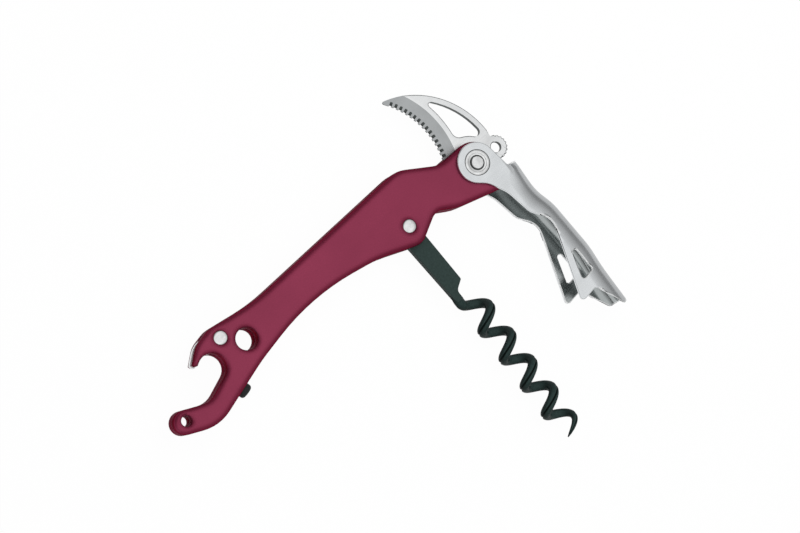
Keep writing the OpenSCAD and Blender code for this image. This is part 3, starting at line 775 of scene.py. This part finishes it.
class CORKSCREW_OT_lever(bpy.types.Operator):
    """Bent sheet lever with a round back"""
    bl_idname = "corkscrew.lever"
    bl_label = "Lever"

    to_own = LEVER.inverted()
    brush_way = math.radians(LEVER_WAY)
    # Corners of the back in the lever's own frame, in millimetres
    back = ((-20, 14.3), (21.5, 9.3), (28, 10.2), (46.5, 8.35), (54.3, 6.35), (80, 1.98))
    # Along the lever: where the round of the back starts to grow, and where it is full
    grow_from = 8.5 * MM
    grow_to = 20 * MM
    # Radius of the sheet's bend at the ear, and the power of the full round
    bend = 4.9 * MM
    fullness = 2.4
    # Sections: the first one, the step and the count along the lever, in millimetres
    sections_from = -12
    sections_step = 1.4
    sections_count = 61
    # A section reaches down to the foot, and has points at these depths below the back, in millimetres
    foot = 20
    depths = (9.6, 8.6, 7.6, 6.6, 5.7, 4.9, 4.2, 3.5, 2.9, 2.3, 1.8, 1.3, 0.9, 0.6, 0.35, 0.18, 0.07, 0.0)

    def execute(self, context):
        values = look("steel")
        piece = copy_of("lever", "lever_sheet")
        combined(piece, "INTERSECT", tube("round_back", self.sections(values.crown)))
        outside = brushed_steel("lever_steel", values.lever, 0.24, self.brush_way)
        # Painted shade: the outer steel is darkened where it faces the lever's back, +Y in its own frame
        paint_shade_facing(outside.node_tree, LEVER.to_3x3().col[1], ((0.0, 1.0), (0.42, 0.98), (0.62, 0.62), (1.0, 0.5)))
        for material in (outside,
                         brushed_steel("lever_inside_painted_shade", values.inside, 0.17, self.brush_way, 5000),
                         brushed_steel("lever_rim_painted_highlight", values.rim, 0.5, self.brush_way, 5000)):
            piece.data.materials.append(material)
        self.paint_inside_shade(piece)
        # The rounded cut edges away from the ears get the third finish, a painted highlight
        round_edges(piece, lambda edge: sharp(50)(edge) and not self.on_ear(edge), values.edge, 3, 2)
        round_edges(piece, lambda edge: sharp(50)(edge) and self.on_ear(edge), 0.4 * values.edge, 2)
        fit(piece, "lever", "lever_steel", ["lever"])
        return {"FINISHED"}

    def on_ear(self, edge):
        """True for an edge of the flat ears, before the back grows round."""
        return all((self.to_own @ v.co).x < self.grow_from for v in edge.verts)

    def height(self, x):
        """Height of the back at x, in the lever's own frame."""
        for (x0, y0), (x1, y1) in zip(self.back, self.back[1:]):
            if x <= x1 * MM:
                return (y0 + (y1 - y0) * (x / MM - x0) / (x1 - x0)) * MM
        raise ValueError(x)

    def half_width(self, depth, crown, grown):
        """Half width of the lever at a depth below its back: a bent sheet that grows into a full round."""
        half = LEVER_HALF + 0.02 * MM
        corner = max(0, 1 - depth / self.bend) * self.bend
        bent = half - self.bend + math.sqrt(self.bend ** 2 - corner ** 2)
        rise = max(0, 1 - depth / crown)
        full = half * (1 - rise ** self.fullness) ** (1 / self.fullness)
        return max(0.2 * MM, bent + (full - bent) * grown)

    def sections(self, crown):
        """Sections of a bar with a round back, along the lever."""
        sections = []
        for i in range(self.sections_count):
            x = (self.sections_from + self.sections_step * i) * MM
            top = sum(self.height(x + shift * MM) for shift in (-2, -1, 0, 1, 2)) / 5 + 0.03 * MM
            part = min(1, max(0, (x - self.grow_from) / (self.grow_to - self.grow_from)))
            grown = part * part * (3 - 2 * part)
            side = [(-self.foot * MM, self.half_width(self.foot * MM, crown, grown))]
            side += [(top - d * MM, self.half_width(d * MM, crown, grown)) for d in self.depths]
            edge = side + [(y, -z) for y, z in reversed(side)]
            sections.append([LEVER @ Vector((x, y, z)) for y, z in edge])
        return sections

    def paint_inside_shade(self, piece):
        """Gives the faces inside the channel the second finish, a darker colour that paints the shade in the
        channel.
        """
        turn = self.to_own.to_3x3()
        for face in piece.data.polygons:
            at = self.to_own @ face.center
            way = turn @ face.normal
            inward = way.z * at.z < -0.2 * abs(at.z)
            under = way.y < -0.1 and abs(at.z) < LEVER_HALF - 1.8 * MM
            face.material_index = 1 if inward or under else 0


class CORKSCREW_OT_blade(bpy.types.Operator):
    """Serrated blade with its ground bevel"""
    bl_idname = "corkscrew.blade"
    bl_label = "Blade"

    # The toothed edge in the blade's own frame: its centre, its radius and its ends
    edge_centre = Vector((25.0, 25.4, 0)) * MM
    edge_arc = 27.25 * MM
    edge_ends = (-72, -126)
    teeth = 15
    # Grooves: width, how far the floor starts inside the edge, and the floor's rise
    groove_w = 0.92 * MM
    groove_in = 0.41 * MM
    groove_rise = math.radians(45)
    bar_edge = 0.16 * MM
    # Upright part of a face's normal: least on a flat, most and least on the bevel, most on a cut wall
    flat_z = 0.995
    bevel_z = (0.965, 0.95)
    wall_z = 0.8
    brush_way = math.radians(BLADE_WAY)
    cut_way = math.radians(20)

    def execute(self, context):
        values = look("steel")
        piece = copy_of("blade", "blade_serrated")
        combined(piece, "DIFFERENCE", self.grooves())
        choose(piece, "FACE", lambda face: self.bevel_z[1] < face.normal.z < self.bevel_z[0])
        bpy.ops.mesh.dissolve_faces()
        done()
        round_edges(piece, self.outer_edge, values.blade_edge, 3)
        fit(piece, "blade", "blade_steel", ["blade"],
            brushed_steel("blade_flat", values.blade, 0.3, self.brush_way),
            brushed_steel("blade_ground_painted_shade", values.ground, 0.36, self.cut_way),
            brushed_steel("blade_cut_painted_shade", values.cut, 0.5, self.cut_way, 4000))
        # Flats keep the steel colour; the bevel and the cut walls get darker colours as painted shade
        for face in piece.data.polygons:
            face.material_index = self.finish_of(abs(face.normal.z))
        return {"FINISHED"}

    def finish_of(self, upright):
        """Number of a face's finish: the flat and rounded edges, the ground bevel with its painted shade, or the
        cut walls with their darker painted shade.
        """
        if self.bevel_z[1] < upright <= self.flat_z:
            return 1
        return 2 if upright < self.wall_z else 0

    def grooves(self):
        """Bars that cut the grooves between the teeth, all round the edge."""
        bars = []
        first, last = self.edge_ends
        for i in range(self.teeth):
            turn = math.radians(first + (last - first) * (i + 0.5) / self.teeth)
            bpy.ops.mesh.primitive_cube_add(size=1, scale=(6 * MM, self.groove_w, 3 * MM),
                                            location=(0, 0, 1.5 * MM))
            bar = started("groove_bar")
            round_edges(bar, lambda edge: True, self.bar_edge, 3)
            start = Vector((self.edge_arc + self.groove_in, 0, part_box("blade")[0].z))
            bar.data.transform(BLADE @ Matrix.Translation(self.edge_centre) @ Matrix.Rotation(turn, 4, "Z")
                               @ Matrix.Translation(start) @ Matrix.Rotation(-self.groove_rise, 4, "Y"))
            bars.append(bar)
        return joined(bars)

    def outer_edge(self, edge):
        """Edges between a flat and a stamped wall that faces away from the teeth."""
        if not sharp(70)(edge):
            return False
        wall, flat = sorted(edge.link_faces, key=lambda face: abs(face.normal.z))
        from_centre = sum((v.co for v in edge.verts), Vector()) / 2 - BLADE @ self.edge_centre
        return (abs(flat.normal.z) > self.flat_z and wall.normal.xy.dot(from_centre.xy) > 0
                and from_centre.xy.length > self.edge_arc + 3 * MM)


class CORKSCREW_OT_pivot(bpy.types.Operator):
    """Main pin with its collars"""
    bl_idname = "corkscrew.pivot"
    bl_label = "Main pivot"

    # Narrowing of the pin's end, and radius of the sunk ring in the collars
    narrowing = 0.32 * MM
    step = 3.05 * MM

    def execute(self, context):
        material = bright_steel()
        # Painted shade: a dark steel for the pin's sunk neck and the collars' walls, where shade falls round the
        # pin
        gap_shade = brushed_steel("pin_gap_painted_shade", look("steel").cut, 0.5, 0.0, 4000)
        at = joint_place("lever_swing")
        size = half_size("main_pin")
        pin, top = size.x, size.z
        neck = pin - self.narrowing
        half = [(0, top), (0.75 * neck, top - 0.01 * MM), (0.92 * neck, top - 0.06 * MM),
                (neck, top - 0.24 * MM), (neck, top - 0.95 * MM), (pin - 0.05 * MM, top - MM),
                (pin, top - 1.08 * MM)]
        piece = turned("main_pin_bright", both_ends(half), at)
        fit(piece, "pin", "bright_steel", ["main_pin"], material, gap_shade)
        # The pin's faces below its end, in the recess, get the painted shade
        for face in piece.data.polygons:
            face.material_index = 1 if abs(face.center.z) < top - 0.5 * MM else 0
        for side, node in ((1, "near_collar"), (-1, "far_collar")):
            low, high = sorted(abs(corner.z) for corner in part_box(node))
            rim = half_size(node).x
            step = self.step
            profile = [(pin + 0.02 * MM, low), (rim, low), (rim, high - 0.2 * MM),
                       (rim - 0.06 * MM, high - 0.08 * MM), (rim - 0.2 * MM, high),
                       (step + 0.12 * MM, high), (step + 0.03 * MM, high - 0.04 * MM),
                       (step, high - 0.22 * MM), (step - 0.12 * MM, high - 0.25 * MM),
                       (pin + 0.25 * MM, high - 0.25 * MM), (pin + 0.08 * MM, high - 0.3 * MM),
                       (pin + 0.02 * MM, high - 0.42 * MM)]
            piece = turned(node + "_bright", [(r, side * z) for r, z in profile], at)
            fit(piece, "pin", "bright_steel", [node], material, gap_shade)
            # The collars' upright walls get the painted shade
            for face in piece.data.polygons:
                face.material_index = 1 if abs(face.normal.z) < 0.5 else 0
        return {"FINISHED"}


class CORKSCREW_OT_washers(bpy.types.Operator):
    """Finish of the washers and the bush inside"""
    bl_idname = "corkscrew.washers"
    bl_label = "Washers"

    def execute(self, context):
        brass = plain_washer("washer_brass", (0.58, 0.47, 0.27), 1.0)
        nylon = plain_washer("washer_nylon", (0.77, 0.76, 0.70), 0.0)
        for node, material in (("near_blade_washer", brass), ("far_blade_washer", brass),
                               ("near_worm_washer", brass), ("far_worm_washer", brass),
                               ("worm_bush", brass), ("near_ear_washer", nylon), ("far_ear_washer", nylon)):
            materials = frame["nodes"][node].data.materials
            materials.clear()
            materials.append(material)
        return {"FINISHED"}


class CORKSCREW_OT_stage(bpy.types.Operator):
    """Floor, light and camera"""
    bl_idname = "corkscrew.stage"
    bl_label = "Stage"

    # Brightest direction of the sky, and the level of its light by the cosine from there
    sky_centre = (-0.22, 0.05, 0.97)
    sky = ((0.0, 0.22), (0.2, 0.3), (0.4, 0.48), (0.57, 0.57), (0.72, 0.77), (0.84, 1.02), (1.0, 1.02))
    # Level of the dark screen at one side, by the direction's Y
    screen = ((0.0, 1.02), (0.28, 1.02), (0.52, 0.3), (1.0, 0.22))
    # Level of the pale backdrop by its height over the horizon
    horizon = ((0.0, 0.7), (0.16, 0.25))

    def execute(self, context):
        values = look("stage")
        self.camera(context.scene, values)
        self.floor(values)
        self.light(context.scene, values)
        context.scene.view_settings.view_transform = "Standard"
        return {"FINISHED"}

    def camera(self, scene, values):
        """Camera with a given up direction."""
        at = Vector(values.camera_at)
        back = (at - Vector(values.camera_to)).normalized()
        right = Vector(values.camera_up).cross(back).normalized()
        up = back.cross(right)
        bpy.ops.object.camera_add(location=at)
        camera = bpy.context.object
        camera.matrix_world = Matrix.Translation(at) @ Matrix((right, up, back)).transposed().to_4x4()
        camera.data.lens = values.lens
        camera.data.sensor_width = 36
        camera.data.sensor_fit = "HORIZONTAL"
        camera.data.clip_start = 0.01
        scene.camera = camera

    def floor(self, values):
        """Paper that shows white with a faint shadow, and sends little light back up."""
        bpy.ops.mesh.primitive_plane_add(size=6, location=(0, 0, FLOOR_Z))
        floor = started("floor")
        material, tree, paper = finish("floor_paper", values.floor, 0.0, 0.9)
        paper.inputs["Specular IOR Level"].default_value = 0.0
        glow = tree.nodes.new("ShaderNodeEmission")
        dim = tree.nodes.new("ShaderNodeBsdfDiffuse")
        dim.inputs["Color"].default_value = (*tinted(values.floor, values.bounce), 1)
        rays = tree.nodes.new("ShaderNodeLightPath")
        seen = rays.outputs["Is Camera Ray"]
        for kind in ("Is Glossy Ray", "Is Transmission Ray"):
            either = tree.nodes.new("ShaderNodeMath")
            either.operation = "MAXIMUM"
            tree.links.new(seen, either.inputs[0])
            tree.links.new(rays.outputs[kind], either.inputs[1])
            seen = either.outputs["Value"]
        white = self.mixed(tree, paper.outputs["BSDF"], glow.outputs["Emission"])
        white.inputs["Fac"].default_value = values.glow
        chosen = self.mixed(tree, dim.outputs["BSDF"], white.outputs["Shader"])
        tree.links.new(seen, chosen.inputs["Fac"])
        tree.links.new(chosen.outputs["Shader"], tree.nodes["Material Output"].inputs["Surface"])
        floor.data.materials.append(material)

    def mixed(self, tree, first, second):
        """Mix of two shaders, with its factor still to be set."""
        node = tree.nodes.new("ShaderNodeMixShader")
        tree.links.new(first, node.inputs[1])
        tree.links.new(second, node.inputs[2])
        return node

    def light(self, scene, values):
        """One lamp that no reflection shows, and a sky with a dark screen and a pale horizon."""
        target = (Vector(CAD_BOX[0]) + Vector(CAD_BOX[1])) / 2
        bpy.ops.object.light_add(type="AREA", location=values.lamp_at)
        lamp = bpy.context.object
        lamp.data.energy = values.key
        lamp.data.size = values.lamp_size
        lamp.visible_glossy = False
        lamp.rotation_euler = (target - lamp.location).to_track_quat("-Z", "Y").to_euler()
        world = bpy.data.worlds.new("studio")
        scene.world = world
        world.use_nodes = True
        tree = world.node_tree
        place = tree.nodes.new("ShaderNodeTexCoord")
        split = tree.nodes.new("ShaderNodeSeparateXYZ")
        across = tree.nodes.new("ShaderNodeVectorMath")
        across.operation = "DOT_PRODUCT"
        across.inputs[1].default_value = Vector(self.sky_centre).normalized()
        tree.links.new(place.outputs["Generated"], split.inputs["Vector"])
        tree.links.new(place.outputs["Generated"], across.inputs[0])
        light = levels(tree, across.outputs["Value"], self.sky)
        for blend, source, steps in (("DARKEN", split.outputs["Y"], self.screen),
                                     ("LIGHTEN", split.outputs["Z"], self.horizon)):
            light = blended(tree, blend, light, levels(tree, source, steps))
        tree.links.new(light, tree.nodes["Background"].inputs["Color"])
        tree.nodes["Background"].inputs["Strength"].default_value = values.sky


PIECES = (CORKSCREW_OT_handle, CORKSCREW_OT_opener, CORKSCREW_OT_rivets, CORKSCREW_OT_worm,
          CORKSCREW_OT_rest, CORKSCREW_OT_lever, CORKSCREW_OT_blade, CORKSCREW_OT_pivot,
          CORKSCREW_OT_washers, CORKSCREW_OT_stage)
LOOKS = {"handle": HandleLook, "steel": SteelLook, "worm": WormLook, "stage": StageLook}


class CORKSCREW_PT_sidebar(bpy.types.Panel):
    """Lists the pieces and their values"""
    bl_idname = "CORKSCREW_PT_sidebar"
    bl_label = "Corkscrew"
    bl_space_type = "VIEW_3D"
    bl_region_type = "UI"
    bl_category = "Corkscrew"

    def draw(self, context):
        for name, group in LOOKS.items():
            box = self.layout.box()
            for value in group.__annotations__:
                box.prop(look(name), value)
        for piece in PIECES:
            self.layout.operator(piece.bl_idname)


def register():
    for group in LOOKS.values():
        bpy.utils.register_class(group)
    for name, group in LOOKS.items():
        setattr(bpy.types.Scene, "corkscrew_" + name, bpy.props.PointerProperty(type=group))
    for piece in PIECES:
        bpy.utils.register_class(piece)
    bpy.utils.register_class(CORKSCREW_PT_sidebar)


def unregister():
    bpy.utils.unregister_class(CORKSCREW_PT_sidebar)
    for piece in reversed(PIECES):
        bpy.utils.unregister_class(piece)
    for name in LOOKS:
        delattr(bpy.types.Scene, "corkscrew_" + name)
    for group in LOOKS.values():
        bpy.utils.unregister_class(group)


def main():
    register()
    for piece in PIECES:
        family, name = piece.bl_idname.split(".")
        getattr(getattr(bpy.ops, family), name)()


if __name__ == "__main__":
    main()
